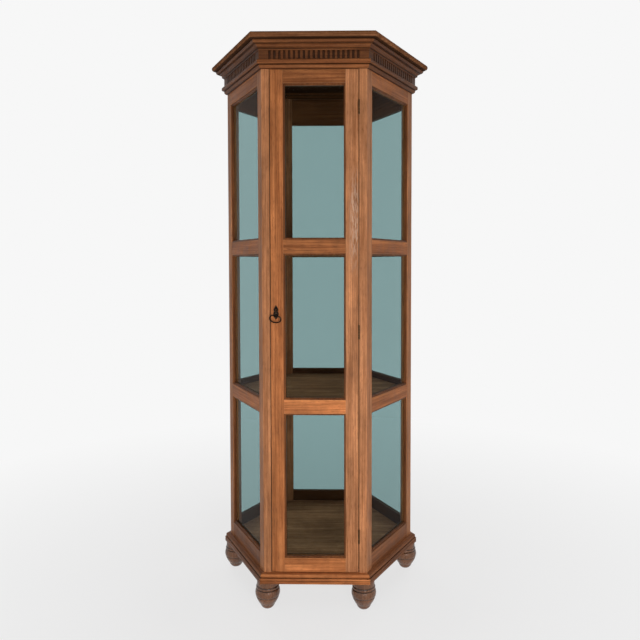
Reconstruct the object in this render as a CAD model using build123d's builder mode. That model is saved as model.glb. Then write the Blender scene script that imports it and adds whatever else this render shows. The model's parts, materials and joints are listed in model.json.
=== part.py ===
from build123d import *
from math import asin, cos, degrees, radians, sin
import os

os.makedirs("parts", exist_ok=True)

# A hexagonal glazed display cabinet: turned feet, a moulded base, six posts, five fixed glazed sides,
# a framed glass door in the sixth, two shelves and a cornice with a fluted frieze.
# Millimetres, +Z up. The origin is on the floor under the centre, and the door faces -Y.

# Plan of the case
corner_radius = 350.0
post_face = 34.0
frame_depth = 20.0
rebate_width = 6.0
rebate_depth = 14.0
door_post_face = 26.0
door_post_depth = 36.0
door_lap = 10.0

# Heights, stacked from the floor
toe_height = 15.0
cone_height = 28.0
bulb_height = 25.0
neck_height = 27.0
base_height = 32.0
side_bottom_rail_height = 61.0
door_bottom_gap = 2.0
door_bottom_rail_height = 53.0
lower_light_height = 483.0
middle_light_height = 480.0
upper_light_height = 503.0
shelf_rail_height = 59.0
door_top_rail_height = 50.0
door_head_gap = 1.5
necking_height = 30.5
frieze_height = 28.0
crown_height = 28.0
top_board_thickness = 20.5

# Joints and fits
tenon_length = 12.0
door_tenon_length = 18.0
tenon_thickness = 8.0
tenon_shoulder = 8.0
joint_gap = 0.1
screw_gap = 0.05

# Glass and beads
glass_thickness = 3.0
glass_edge_gap = 1.0
bead_setback = 3.0
bead_bevel = 2.5

# Door
door_thickness = 24.0
door_side_gap = 1.5
door_back_gap = 1.0
stile_width = 49.5

# Floor and shelves
floor_thickness = 18.0
shelf_thickness = 18.0
shelf_drop = 22.0
board_gap = 1.0
bearer_size = 16.0
shelf_front_gap = 2.0

# Base and feet
base_frame_width = 60.0
base_projection = 19.5
foot_inset = 20.0
foot_toe_radius = 17.0
foot_waist_radius = 26.0
foot_cone_radius = 27.5
foot_cone_middle_radius = 35.5
foot_cone_top_radius = 40.2
foot_bulb_low_radius = 41.2
foot_bulb_radius = 42.4
foot_bulb_top_radius = 39.2
foot_ring_radius = 38.5
foot_ring_height = 7.0
foot_ring_swell = 1.0
foot_neck_radius = 37.2
foot_top_radius = 36.0
foot_groove_depth = 2.0
foot_groove_width = 2.4
spigot_radius = 10.0
spigot_length = 24.0

# Cornice
necking_projection = 19.0
frieze_thickness = 10.5
groove_count = 19
groove_radius = 4.0
fluting_end_margin = 35.5
crown_projection = 37.0
top_board_projection = 51.0
top_board_round = 9.5

# Hinges
hinge_height = 46.0
hinge_end_distance = 123.0
middle_hinge_drop = 25.0
leaf_width = 18.0
leaf_thickness = 1.6
leaf_gap = 0.2
knuckle_radius = 2.9
knuckle_count = 5
knuckle_end_gap = 0.1
hinge_pin_radius = 1.5
pin_running_gap = 0.05
pin_cap_radius = 2.4
pin_cap_height = 1.6

# Screws
screw_head_radius = 3.0
screw_head_height = 1.5
screw_shank_radius = 1.5
screw_length = 12.0
screw_spacing = 15.0
screw_slot = 0.6

# Lock
keyhole_height = 1021.0
keyhole_inset = 20.5
keyhole_radius = 3.6
lock_width = 32.0
lock_height = 48.0
lock_thickness = 12.0
lock_below_key = 17.0
lock_keyway_depth = 9.0
bolt_height = 10.0
bolt_thickness = 5.0
bolt_length = 22.0
bolt_above_key = 17.0
bolt_rest_inset = 0.5
bolt_throw = 7.0
bolt_gap = 0.2
strike_height = 40.0
strike_width = 16.0
strike_thickness = 1.5
strike_screw_offset = 14.0

# Pull
plate_thickness = 1.5
plate_width = 18.0
plate_upper_length = 17.0
plate_lower_length = 32.0
plate_notch = 3.0
plate_notch_drop = 5.0
plate_tip_margin = 5.0
plate_pin_radius = 0.8
plate_pin_head_radius = 1.5
plate_pin_length = 7.0
pull_offset = 2.5
eye_drop = 22.0
eye_radius = 4.5
eye_wire_radius = 1.4
eye_neck = 3.0
eye_collar_radius = 3.2
eye_shank_radius = 1.6
eye_shank_length = 9.0
ring_width = 42.0
ring_height = 26.0
ring_wire_radius = 2.1
ring_dent_radius = 6.0
ring_tilt = 12.0
ring_seat_gap = 0.3

# Worked out from the sizes above
apothem = corner_radius * cos(radians(30))
half_side = corner_radius / 2
post_sight = post_face + rebate_width
light_half = half_side - post_sight
door_opening_half = half_side - door_post_face
door_half = door_opening_half - door_side_gap
door_light_half = door_half - stile_width
door_stop_depth = door_thickness + door_back_gap
bead_depth = rebate_depth - glass_thickness - bead_setback
tenon_depth = (rebate_depth - tenon_thickness) / 2
head_tenon_depth = (door_stop_depth - tenon_thickness) / 2
rail_half = light_half + rebate_width
foot_height = toe_height + cone_height + bulb_height + neck_height
base_top = foot_height + base_height
door_bottom = base_top + door_bottom_gap
lower_light_bottom = door_bottom + door_bottom_rail_height
lower_light_top = lower_light_bottom + lower_light_height
middle_light_bottom = lower_light_top + shelf_rail_height
middle_light_top = middle_light_bottom + middle_light_height
upper_light_bottom = middle_light_top + shelf_rail_height
upper_light_top = upper_light_bottom + upper_light_height
door_top = upper_light_top + door_top_rail_height
necking_bottom = door_top + door_head_gap
frieze_bottom = necking_bottom + necking_height
frieze_top = frieze_bottom + frieze_height
crown_top = frieze_top + crown_height
side_light_bottom = base_top + side_bottom_rail_height
front_y = -apothem

fixed_faces = {"right_front": -30, "right_rear": 30, "rear": 90, "left_rear": 150, "left_front": 210}
front_face = 270
side_lights = [
    (side_light_bottom, lower_light_top),
    (middle_light_bottom, middle_light_top),
    (upper_light_bottom, upper_light_top),
]
door_lights = [(lower_light_bottom, lower_light_top)] + side_lights[1:]
door_light_names = ["bottom", "middle", "top"]


# Helpers


def save(piece, label):
    piece.label = label
    export_step(piece, f"parts/{label}.step")


def polar(radius, angle):
    return (radius * cos(radians(angle)), radius * sin(radians(angle)))


def face_plane(angle, depth=0.0):
    # A plane on one face of the case: x along the face, y up, z outwards, depth inwards from the posts
    x, y = polar(apothem - depth, angle)
    nx, ny = polar(1, angle)
    return Plane(origin=(x, y, 0), x_dir=(-ny, nx, 0), z_dir=(nx, ny, 0))


def slab(plane, x_range, y_range, thickness, mode=Mode.ADD):
    # A rectangle on the plane, pushed in behind it
    with BuildSketch(plane) as outline:
        with Locations((sum(x_range) / 2, sum(y_range) / 2)):
            Rectangle(abs(x_range[1] - x_range[0]), y_range[1] - y_range[0])
    extrude(outline.sketch, amount=-thickness, mode=mode)


def block(x_range, y_range, z_range, mode=Mode.ADD):
    with BuildSketch(Plane.XY.offset(z_range[0])) as outline:
        with Locations((sum(x_range) / 2, sum(y_range) / 2)):
            Rectangle(x_range[1] - x_range[0], y_range[1] - y_range[0])
    extrude(outline.sketch, amount=z_range[1] - z_range[0], mode=mode)


def rod(plane, centre, radius, length, mode=Mode.ADD):
    # A round bar from the plane along its normal
    with BuildSketch(plane) as outline:
        with Locations(centre):
            Circle(radius)
    extrude(outline.sketch, amount=length, mode=mode)


# Posts


def corner_point(angle, along, inward, side):
    # A plan point by the corner at that angle: along one of its two faces, then square in from the face
    face = angle + 30 * side
    x, y = polar(corner_radius, angle)
    tx, ty = polar(along, face + 90 * side)
    nx, ny = polar(inward, face)
    return (x + tx - nx, y + ty - ny)


light_side = [(post_face, 0), (post_face, rebate_depth), (post_sight, rebate_depth), (post_sight, frame_depth)]
door_side = [
    (door_post_face, 0),
    (door_post_face, door_stop_depth),
    (door_post_face + door_lap, door_stop_depth),
    (door_post_face + door_lap, door_post_depth),
]
rail_levels = {
    "bottom": (base_top, side_light_bottom, False, True),
    "lower": (lower_light_top, middle_light_bottom, True, True),
    "upper": (middle_light_top, upper_light_bottom, True, True),
    "top": (upper_light_top, frieze_top, True, False),
}


def post(angle, plus, minus):
    outline = [polar(corner_radius, angle)]
    outline += [corner_point(angle, along, inward, 1) for along, inward in plus]
    outline += [corner_point(angle, along, inward, -1) for along, inward in reversed(minus)]
    with BuildPart() as shaft:
        with BuildSketch(Plane.XY.offset(base_top)):
            with BuildLine():
                Polyline(*outline, close=True)
            make_face()
        extrude(amount=frieze_top - base_top)
        for side, profile in ((1, plus), (-1, minus)):
            if profile is light_side:
                plane = face_plane(angle + 30 * side, tenon_depth - joint_gap)
                ends = sorted((-side * rail_half, -side * (rail_half + tenon_length)))
                for low, high, _, _ in rail_levels.values():
                    span = (low + tenon_shoulder - joint_gap, high - tenon_shoulder + joint_gap)
                    slab(plane, ends, span, tenon_thickness + 2 * joint_gap, Mode.SUBTRACT)
            else:
                plane = face_plane(angle + 30 * side, head_tenon_depth - joint_gap)
                ends = sorted((-side * door_opening_half, -side * (door_opening_half + tenon_length)))
                span = (necking_bottom + tenon_shoulder - joint_gap, frieze_top - tenon_shoulder + joint_gap)
                slab(plane, ends, span, tenon_thickness + 2 * joint_gap, Mode.SUBTRACT)
    return shaft.part


for name, angle in (("right", 0), ("rear_right", 60), ("rear_left", 120), ("left", 180)):
    save(post(angle, light_side, light_side), f"post_{name}")


# Rails of the fixed sides, tenoned into the posts


def side_rail(angle, low, high, rebate_low, rebate_high):
    face_low = low + rebate_width * rebate_low
    face_high = high - rebate_width * rebate_high
    tenon_half = rail_half + tenon_length - joint_gap
    tenon_span = (low + tenon_shoulder, high - tenon_shoulder)
    with BuildPart() as rail:
        slab(face_plane(angle), (-rail_half, rail_half), (face_low, face_high), rebate_depth)
        back = face_plane(angle, rebate_depth)
        slab(back, (-light_half, light_half), (low, high), frame_depth - rebate_depth)
        slab(face_plane(angle, tenon_depth), (-tenon_half, tenon_half), tenon_span, tenon_thickness)
    return rail.part


for name, angle in fixed_faces.items():
    save(side_rail(angle, *rail_levels["top"]), f"top_rail_{name}")
    save(side_rail(angle, *rail_levels["bottom"]), f"bottom_rail_{name}")
    pair = [side_rail(angle, *rail_levels[level]) for level in ("lower", "upper")]
    save(Compound(children=pair), f"shelf_rails_{name}")

with BuildPart() as head_rail:
    opening = (-door_opening_half, door_opening_half)
    slab(face_plane(front_face), opening, (necking_bottom, frieze_top), door_stop_depth)
    head_tenon_half = door_opening_half + tenon_length - joint_gap
    slab(
        face_plane(front_face, head_tenon_depth),
        (-head_tenon_half, head_tenon_half),
        (necking_bottom + tenon_shoulder, frieze_top - tenon_shoulder),
        tenon_thickness,
    )
save(head_rail.part, "head_rail")


# Glass panes and the mitred beads that hold them


def pane(angle, half_width, low, high):
    reach = rebate_width - glass_edge_gap
    with BuildPart() as glass:
        slab(
            face_plane(angle, bead_setback + bead_depth),
            (-half_width - reach, half_width + reach),
            (low - reach, high + reach),
            glass_thickness,
        )
    return glass.part


def bead(angle, outer_start, outer_end, inner_end, inner_start):
    plane = face_plane(angle, bead_setback)
    inner_middle = [(start + end) / 2 for start, end in zip(inner_start, inner_end)]
    with BuildPart() as strip:
        with BuildSketch(plane):
            with BuildLine():
                Polyline(outer_start, outer_end, inner_end, inner_start, close=True)
            make_face()
        extrude(amount=-bead_depth)
        sight_edge = strip.edges().sort_by_distance(plane.from_local_coords((*inner_middle, 0)))[0]
        chamfer(sight_edge, bead_bevel)
    return strip.part


def beads(angle, half_width, low, high):
    inner = [(-half_width, low), (half_width, low), (half_width, high), (-half_width, high)]
    outer = [
        (x + rebate_width * (1 if x > 0 else -1), y + rebate_width * (1 if y == high else -1))
        for x, y in inner
    ]
    return [bead(angle, outer[i - 1], outer[i], inner[i], inner[i - 1]) for i in range(4)]


case_beads = []
for name, angle in fixed_faces.items():
    save(Compound(children=[pane(angle, light_half, *light) for light in side_lights]), f"panes_{name}")
    for light in side_lights:
        case_beads += beads(angle, light_half, *light)
save(Compound(children=case_beads), "case_glazing_beads")

door_beads = []
for name, light in zip(door_light_names, door_lights):
    save(pane(front_face, door_light_half, *light), f"door_pane_{name}")
    door_beads += beads(front_face, door_light_half, *light)
save(Compound(children=door_beads), "door_glazing_beads")


# Floor, shelves and bearers


def board_outline(front_depth):
    # The inside of the case in plan: six sides clear of the rails, the corners cut off square at the posts
    side = apothem - frame_depth - board_gap
    corner = corner_point(0, post_sight, frame_depth, 1)[0] - board_gap
    door_corner = corner_point(0, door_post_face + door_lap, door_post_depth, 1)[0] - board_gap
    front = apothem - front_depth
    RegularPolygon(radius=side, side_count=6, major_radius=False)
    for angle in range(0, 360, 60):
        reach = door_corner if angle in (240, 300) else corner
        with Locations(Location((*polar(reach + half_side, angle), 0), (0, 0, angle))):
            Rectangle(corner_radius, corner_radius, mode=Mode.SUBTRACT)
    with Locations((0, -front - half_side)):
        Rectangle(2 * corner_radius, corner_radius, mode=Mode.SUBTRACT)


floor_front = door_post_depth + board_gap
with BuildPart() as floor_board:
    with BuildSketch(Plane.XY.offset(base_top)):
        board_outline(floor_front)
        tongue_half = half_side - door_post_face - door_lap - board_gap
        tongue_front = front_y + door_stop_depth
        tongue_back = front_y + floor_front + board_gap
        with Locations((0, (tongue_front + tongue_back) / 2)):
            Rectangle(2 * tongue_half, tongue_back - tongue_front)
    extrude(amount=floor_thickness)
save(floor_board.part, "floor_board")

shelf_tops = {"lower": middle_light_bottom - shelf_drop, "upper": upper_light_bottom - shelf_drop}
bearers = []
for name, shelf_top in shelf_tops.items():
    shelf_bottom = shelf_top - shelf_thickness
    with BuildPart() as shelf:
        with BuildSketch(Plane.XY.offset(shelf_bottom)):
            board_outline(door_post_depth + shelf_front_gap)
        extrude(amount=shelf_thickness)
    save(shelf.part, f"{name}_shelf")
    for angle in fixed_faces.values():
        with BuildPart() as bearer:
            bearer_half = light_half - board_gap
            span = (shelf_bottom - bearer_size, shelf_bottom)
            slab(face_plane(angle, frame_depth), (-bearer_half, bearer_half), span, bearer_size)
        bearers.append(bearer.part)
save(Compound(children=bearers), "shelf_bearers")


# Mitred lengths with a moulded section


def moulded_length(angle, draw_section):
    nx, ny = polar(1, angle)
    reach = 2 * corner_radius
    with BuildPart() as length:
        with BuildSketch(Plane(origin=(0, 0, 0), x_dir=(nx, ny, 0), z_dir=(ny, -nx, 0))):
            with BuildLine():
                draw_section()
            make_face()
        extrude(amount=corner_radius, both=True)
        with BuildSketch(Plane.XY):
            with BuildLine():
                Polyline((0, 0), polar(reach, angle - 30), polar(reach, angle + 30), close=True)
            make_face()
        extrude(amount=crown_top + top_board_thickness, mode=Mode.INTERSECT)
    return length.part


all_faces = [front_face] + list(fixed_faces.values())


def base_section():
    inner = apothem - base_frame_width
    outer = apothem + base_projection
    top = base_top
    Polyline((outer - 8, top), (inner, top), (inner, foot_height), (outer - 2, foot_height))
    ThreePointArc((outer - 2, foot_height), (outer - 0.6, foot_height + 0.6), (outer, foot_height + 2))
    Polyline((outer, foot_height + 2), (outer, top - 21.5), (outer - 1.6, top - 20.6))
    Line((outer - 1.6, top - 20.6), (outer - 0.4, top - 19.8))
    ThreePointArc((outer - 0.4, top - 19.8), (outer, top - 16.5), (outer - 1, top - 13.5))
    Polyline((outer - 1, top - 13.5), (outer - 5.5, top - 12.2), (outer - 4.3, top - 10.8))
    ThreePointArc((outer - 4.3, top - 10.8), (outer - 3.9, top - 4.5), (outer - 8, top))


def necking_section():
    low = necking_bottom
    tip = apothem + necking_projection
    Polyline((apothem, frieze_bottom), (apothem, low), (apothem + 3, low))
    ThreePointArc((apothem + 3, low), (apothem + 9, low + 4), (apothem + 11, low + 11))
    Polyline((apothem + 11, low + 11), (apothem + 9, low + 12.5), (tip - 4, low + 13.5))
    ThreePointArc((tip - 4, low + 13.5), (tip - 0.8, low + 15.5), (tip, low + 19))
    Line((tip, low + 19), (tip, low + 23))
    ThreePointArc((tip, low + 23), (tip - 1.5, low + 26.5), (tip - 5, low + 28.5))
    Polyline((tip - 5, low + 28.5), (apothem + frieze_thickness, frieze_bottom), (apothem, frieze_bottom))


def crown_section():
    low = frieze_top
    inner = apothem - frame_depth
    cove = apothem + frieze_thickness + 1.5
    fascia = apothem + crown_projection
    Polyline((inner, crown_top), (inner, low), (cove, low))
    ThreePointArc((cove, low), (cove + 2.4, low + 3), (cove + 6, low + 4))
    Line((cove + 6, low + 4), (cove + 6, low + 8))
    ThreePointArc((cove + 6, low + 8), (cove + 8.6, low + 13), (fascia - 9, low + 15.5))
    Polyline((fascia - 9, low + 15.5), (fascia - 9, low + 17), (fascia - 4, low + 17))
    ThreePointArc((fascia - 4, low + 17), (fascia - 1, low + 19.9), (fascia, low + 24.5))
    Polyline((fascia, low + 24.5), (fascia - 0.5, low + 25.5), (fascia - 2.5, low + 26.4))
    Polyline((fascia - 2.5, low + 26.4), (fascia - 2.5, crown_top), (inner, crown_top))


def spigot_holes(length):
    with BuildPart() as drilled:
        add(length)
        with BuildSketch(Plane.XY.offset(foot_height)):
            with PolarLocations(corner_radius - foot_inset, 6):
                Circle(spigot_radius + joint_gap)
        extrude(amount=spigot_length + joint_gap, mode=Mode.SUBTRACT)
    return drilled.part


save(Compound(children=[spigot_holes(moulded_length(a, base_section)) for a in all_faces]), "base_frame")
save(Compound(children=[moulded_length(a, necking_section) for a in all_faces]), "necking_moulding")
save(Compound(children=[moulded_length(a, crown_section) for a in all_faces]), "crown_moulding")

# Fluted frieze: each board is mitred and has a row of upright grooves between two plain blocks
frieze_boards = []
frieze_outer = apothem + frieze_thickness
groove_span = 2 * (frieze_outer / cos(radians(30)) / 2 - fluting_end_margin)
groove_pitch = groove_span / (groove_count - 1)
for angle in all_faces:
    nx, ny = polar(1, angle)
    offsets = [(i - (groove_count - 1) / 2) * groove_pitch for i in range(groove_count)]
    with BuildPart() as board:
        with BuildSketch(Plane.XY.offset(frieze_bottom)):
            corners = [
                polar(radius / cos(radians(30)), angle + turn)
                for radius, turn in ((apothem, -30), (frieze_outer, -30), (frieze_outer, 30), (apothem, 30))
            ]
            with BuildLine():
                Polyline(*corners, close=True)
            make_face()
            with Locations(*[(frieze_outer * nx - s * ny, frieze_outer * ny + s * nx) for s in offsets]):
                Circle(groove_radius, mode=Mode.SUBTRACT)
        extrude(amount=frieze_height)
    frieze_boards.append(board.part)
save(Compound(children=frieze_boards), "frieze")

with BuildPart() as top_board:
    with BuildSketch(Plane.XY.offset(crown_top)):
        RegularPolygon(radius=apothem + top_board_projection, side_count=6, major_radius=False)
    extrude(amount=top_board_thickness)
    rims = top_board.faces().filter_by(Axis.Z)
    fillet(rims.edges(), top_board_round)
save(top_board.part, "top_board")


# Turned feet: toe, cone, bulb, ring and neck with grooves between them, and a spigot in the base frame
feet = []
bulb_low = toe_height + cone_height
bulb_top = bulb_low + bulb_height
groove_half = foot_groove_width / 2
ring_low = bulb_top + groove_half
ring_high = ring_low + foot_ring_height
for angle in range(0, 360, 60):
    centre = polar(corner_radius - foot_inset, angle)
    with BuildPart() as foot:
        with BuildSketch(Plane(origin=(*centre, 0), x_dir=(1, 0, 0), z_dir=(0, -1, 0))):
            with BuildLine():
                Polyline((0, foot_height + spigot_length), (0, 0), (foot_toe_radius, 0))
                toe_side = (foot_toe_radius + 5.5, toe_height * 0.4)
                ThreePointArc((foot_toe_radius, 0), toe_side, (foot_waist_radius, toe_height))
                cone_low = (foot_cone_radius, toe_height + 0.8)
                cone_top = (foot_cone_top_radius, bulb_low - groove_half)
                Line((foot_waist_radius, toe_height), cone_low)
                ThreePointArc(cone_low, (foot_cone_middle_radius, (toe_height + bulb_low) / 2), cone_top)
                bulb_start = (foot_bulb_low_radius, bulb_low + groove_half)
                bulb_end = (foot_bulb_top_radius, bulb_top - groove_half)
                Polyline(cone_top, (foot_cone_top_radius - foot_groove_depth / 2, bulb_low), bulb_start)
                ThreePointArc(bulb_start, (foot_bulb_radius, bulb_low + bulb_height * 0.45), bulb_end)
                ring_start = (foot_ring_radius, ring_low)
                ring_end = (foot_ring_radius, ring_high)
                ring_middle = (foot_ring_radius + foot_ring_swell, (ring_low + ring_high) / 2)
                Polyline(bulb_end, (foot_ring_radius - foot_groove_depth, bulb_top), ring_start)
                ThreePointArc(ring_start, ring_middle, ring_end)
                neck_low = (foot_neck_radius, ring_high + foot_groove_width)
                groove_bottom = (foot_neck_radius - foot_groove_depth, ring_high + groove_half)
                Polyline(ring_end, groove_bottom, neck_low, (foot_top_radius, foot_height))
                Polyline(
                    (foot_top_radius, foot_height),
                    (spigot_radius, foot_height),
                    (spigot_radius, foot_height + spigot_length),
                    (0, foot_height + spigot_length),
                )
            make_face()
        revolve(axis=Axis((*centre, 0), (0, 0, 1)))
    feet.append(foot.part)
save(Compound(children=feet), "feet")


# Butt hinges: the post leaf has the end and middle knuckles, the door leaf the two between
axis_x = door_opening_half - door_side_gap / 2
axis_y = front_y - knuckle_radius - leaf_gap
hinge_low = door_bottom + hinge_end_distance
hinge_high = door_top - hinge_end_distance
hinge_centres = [hinge_low, (hinge_low + hinge_high) / 2 - middle_hinge_drop, hinge_high]
screw_y = front_y + leaf_width * 0.6
screw_plans = [(screw_y, turn * screw_spacing) for turn in (-1, 0, 1)]


def screw(start, direction):
    # Countersunk wood screw with its head at the start
    into = Vector(*direction)
    across = Vector(0, 0, 1)
    with BuildPart() as fastener:
        with BuildSketch(Plane(origin=start, x_dir=across, z_dir=across.cross(into))):
            with BuildLine():
                Polyline(
                    (0, 0),
                    (screw_head_radius, 0),
                    (screw_shank_radius, screw_head_height),
                    (screw_shank_radius, screw_length - 2),
                    (0, screw_length),
                    close=True,
                )
            make_face()
        revolve(axis=Axis(start, direction))
        with BuildSketch(Plane(origin=start, x_dir=across, z_dir=into)):
            Rectangle(screw_slot, 2 * screw_head_radius)
        extrude(amount=screw_slot, mode=Mode.SUBTRACT)
    return fastener.part


def screw_hole(start, direction):
    # The hole for such a screw, with its countersink, cut in the piece being built
    into = Vector(*direction)
    plane = Plane(origin=start, x_dir=(0, 0, 1), z_dir=into)
    rod(plane, (0, 0), screw_shank_radius + screw_gap, screw_length + screw_gap, Mode.SUBTRACT)
    with BuildSketch(plane) as mouth:
        Circle(screw_head_radius + screw_gap)
    with BuildSketch(plane.offset(screw_head_height)) as neck:
        Circle(screw_shank_radius + screw_gap)
    loft([mouth.sketch, neck.sketch], mode=Mode.SUBTRACT)


def leaf(side, centre, knuckles):
    # side is 1 for the post's leaf and -1 for the door's
    step = hinge_height / knuckle_count
    low = centre - hinge_height / 2
    inner = axis_x + side * leaf_gap / 2
    outer = inner + side * leaf_thickness
    wall = sorted((inner, outer))
    with BuildPart() as hinge_leaf:
        block(wall, (front_y, front_y + leaf_width), (low, low + hinge_height))
        for index in knuckles:
            bottom = low + index * step + knuckle_end_gap * (index > 0)
            top = low + (index + 1) * step - knuckle_end_gap * (index < knuckle_count - 1)
            block(wall, (axis_y, front_y), (bottom, top))
            rod(Plane.XY.offset(bottom), (axis_x, axis_y), knuckle_radius, top - bottom)
        bore = hinge_pin_radius + pin_running_gap
        rod(Plane.XY.offset(low), (axis_x, axis_y), bore, hinge_height, Mode.SUBTRACT)
        for y, rise in screw_plans:
            screw_hole((inner, y, centre + rise), (side, 0, 0))
    return hinge_leaf.part


post_leaves = [leaf(1, centre, (0, 2, 4)) for centre in hinge_centres]
door_leaves = [leaf(-1, centre, (1, 3)) for centre in hinge_centres]
save(Compound(children=post_leaves), "hinge_post_leaves")
save(Compound(children=door_leaves), "hinge_door_leaves")

pins = []
for centre in hinge_centres:
    low = centre - hinge_height / 2
    with BuildPart() as pin:
        rod(Plane.XY.offset(low), (axis_x, axis_y), hinge_pin_radius, hinge_height)
        for plane in (Plane.XY.offset(low - pin_cap_height), Plane.XY.offset(low + hinge_height)):
            rod(plane, (axis_x, axis_y), pin_cap_radius, pin_cap_height)
        ends = pin.faces().filter_by(Axis.Z).sort_by(Axis.Z)
        fillet([ends[0].edge(), ends[-1].edge()], pin_cap_height * 0.6)
    pins.append(pin.part)
save(Compound(children=pins), "hinge_pins")

post_screws = []
door_screws = []
post_leaf_x = axis_x + leaf_gap / 2
door_leaf_x = axis_x - leaf_gap / 2
for centre in hinge_centres:
    for y, rise in screw_plans:
        post_screws.append(screw((post_leaf_x, y, centre + rise), (1, 0, 0)))
        door_screws.append(screw((door_leaf_x, y, centre + rise), (-1, 0, 0)))

with BuildPart() as post_front_right:
    add(post(300, light_side, door_side))
    for centre in hinge_centres:
        pocket = (door_opening_half, post_leaf_x + leaf_thickness)
        height = (centre - hinge_height / 2, centre + hinge_height / 2)
        block(pocket, (front_y, front_y + leaf_width), height, Mode.SUBTRACT)
        for y, rise in screw_plans:
            hole = Plane(origin=(post_leaf_x, y, centre + rise), x_dir=(0, 0, 1), z_dir=(1, 0, 0))
            rod(hole, (0, 0), screw_shank_radius + screw_gap, screw_length + screw_gap, Mode.SUBTRACT)
save(post_front_right.part, "post_front_right")


# Lock strike in the front left post
bolt_centre = keyhole_height + bolt_above_key
lock_front_y = front_y + door_thickness - lock_thickness
bolt_y = lock_front_y + lock_thickness / 2
strike_y = (bolt_y - strike_width / 2, bolt_y + strike_width / 2)
strike_z = (bolt_centre - strike_height / 2, bolt_centre + strike_height / 2)
strike_x = (-door_opening_half - strike_thickness, -door_opening_half)
bolt_slot_y = (bolt_y - bolt_thickness / 2 - bolt_gap, bolt_y + bolt_thickness / 2 + bolt_gap)
bolt_slot_z = (bolt_centre - bolt_height / 2 - bolt_gap, bolt_centre + bolt_height / 2 + bolt_gap)
strike_screw_starts = [
    (-door_opening_half, bolt_y, bolt_centre + turn * strike_screw_offset) for turn in (-1, 1)
]

with BuildPart() as strike_plate:
    block(strike_x, strike_y, strike_z)
    block(strike_x, bolt_slot_y, bolt_slot_z, Mode.SUBTRACT)
    for start in strike_screw_starts:
        screw_hole(start, (-1, 0, 0))
save(strike_plate.part, "strike_plate")

with BuildPart() as post_front_left:
    add(post(240, door_side, light_side))
    block(strike_x, strike_y, strike_z, Mode.SUBTRACT)
    mortise_end = -door_half + bolt_rest_inset - bolt_throw - 2
    block((mortise_end, strike_x[0]), bolt_slot_y, bolt_slot_z, Mode.SUBTRACT)
    for start in strike_screw_starts:
        hole = Plane(origin=start, x_dir=(0, 0, 1), z_dir=(-1, 0, 0))
        rod(hole, (0, 0), screw_shank_radius + screw_gap, screw_length + screw_gap, Mode.SUBTRACT)
save(post_front_left.part, "post_front_left")

post_screws += [screw(start, (-1, 0, 0)) for start in strike_screw_starts]
save(Compound(children=post_screws), "case_screws")


# Door: two stiles and four rails with the same rebates and beads as the sides
door_rail_levels = {
    "bottom": (door_bottom, lower_light_bottom, False, True),
    "lower": (lower_light_top, middle_light_bottom, True, True),
    "upper": (middle_light_top, upper_light_bottom, True, True),
    "top": (upper_light_top, door_top, True, False),
}
door_tenon_inset = (door_thickness - rebate_depth - tenon_thickness) / 2
door_tenon_depth = rebate_depth + door_tenon_inset
door_face_half = door_light_half + rebate_width

for name, (low, high, rebate_low, rebate_high) in door_rail_levels.items():
    face_span = (low + rebate_width * rebate_low, high - rebate_width * rebate_high)
    tenon_half = door_light_half + door_tenon_length - joint_gap
    with BuildPart() as door_rail:
        slab(face_plane(front_face), (-door_face_half, door_face_half), face_span, rebate_depth)
        back = face_plane(front_face, rebate_depth)
        slab(back, (-door_light_half, door_light_half), (low, high), door_thickness - rebate_depth)
        tenon_plane = face_plane(front_face, door_tenon_depth)
        span = (low + tenon_shoulder, high - tenon_shoulder)
        slab(tenon_plane, (-tenon_half, tenon_half), span, tenon_thickness)
    save(door_rail.part, f"door_{name}_rail")


def stile(side):
    # side is 1 for the hinge stile and -1 for the lock stile
    outer = side * door_half
    with BuildPart() as upright:
        height = (door_bottom, door_top)
        slab(face_plane(front_face), sorted((outer, side * door_light_half)), height, door_thickness)
        rebate = sorted((side * door_light_half, side * door_face_half))
        slab(face_plane(front_face), rebate, height, rebate_depth, Mode.SUBTRACT)
        mortise = sorted((side * door_light_half, side * (door_light_half + door_tenon_length)))
        mortise_plane = face_plane(front_face, door_tenon_depth - joint_gap)
        for low, high, _, _ in door_rail_levels.values():
            span = (low + tenon_shoulder - joint_gap, high - tenon_shoulder + joint_gap)
            slab(mortise_plane, mortise, span, tenon_thickness + 2 * joint_gap, Mode.SUBTRACT)
    return upright.part


with BuildPart() as door_hinge_stile:
    add(stile(1))
    for centre in hinge_centres:
        pocket = (door_leaf_x - leaf_thickness, door_half)
        height = (centre - hinge_height / 2, centre + hinge_height / 2)
        block(pocket, (front_y, front_y + leaf_width), height, Mode.SUBTRACT)
        for y, rise in screw_plans:
            hole = Plane(origin=(door_leaf_x, y, centre + rise), x_dir=(0, 0, 1), z_dir=(-1, 0, 0))
            rod(hole, (0, 0), screw_shank_radius + screw_gap, screw_length + screw_gap, Mode.SUBTRACT)
save(door_hinge_stile.part, "door_hinge_stile")


# Cut cupboard lock, let into the back of the lock stile, with its sliding bolt drawn back
key_x = -door_half + keyhole_inset
lock_x = (-door_half, -door_half + lock_width)
lock_y = (lock_front_y, front_y + door_thickness)
lock_z = (keyhole_height - lock_below_key, keyhole_height - lock_below_key + lock_height)
bolt_x = (-door_half + bolt_rest_inset, -door_half + bolt_rest_inset + bolt_length)
key_plane = Plane(origin=(key_x, front_y, keyhole_height), x_dir=(1, 0, 0), z_dir=(0, 1, 0))

with BuildPart() as lock_body:
    block(lock_x, lock_y, lock_z)
    cavity = (-door_half, bolt_x[1] + bolt_gap)
    block(cavity, bolt_slot_y, bolt_slot_z, Mode.SUBTRACT)
    keyway = Plane(origin=(key_x, lock_front_y, keyhole_height), x_dir=(1, 0, 0), z_dir=(0, 1, 0))
    rod(keyway, (0, 0), keyhole_radius, lock_keyway_depth, Mode.SUBTRACT)
save(lock_body.part, "lock_body")

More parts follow.
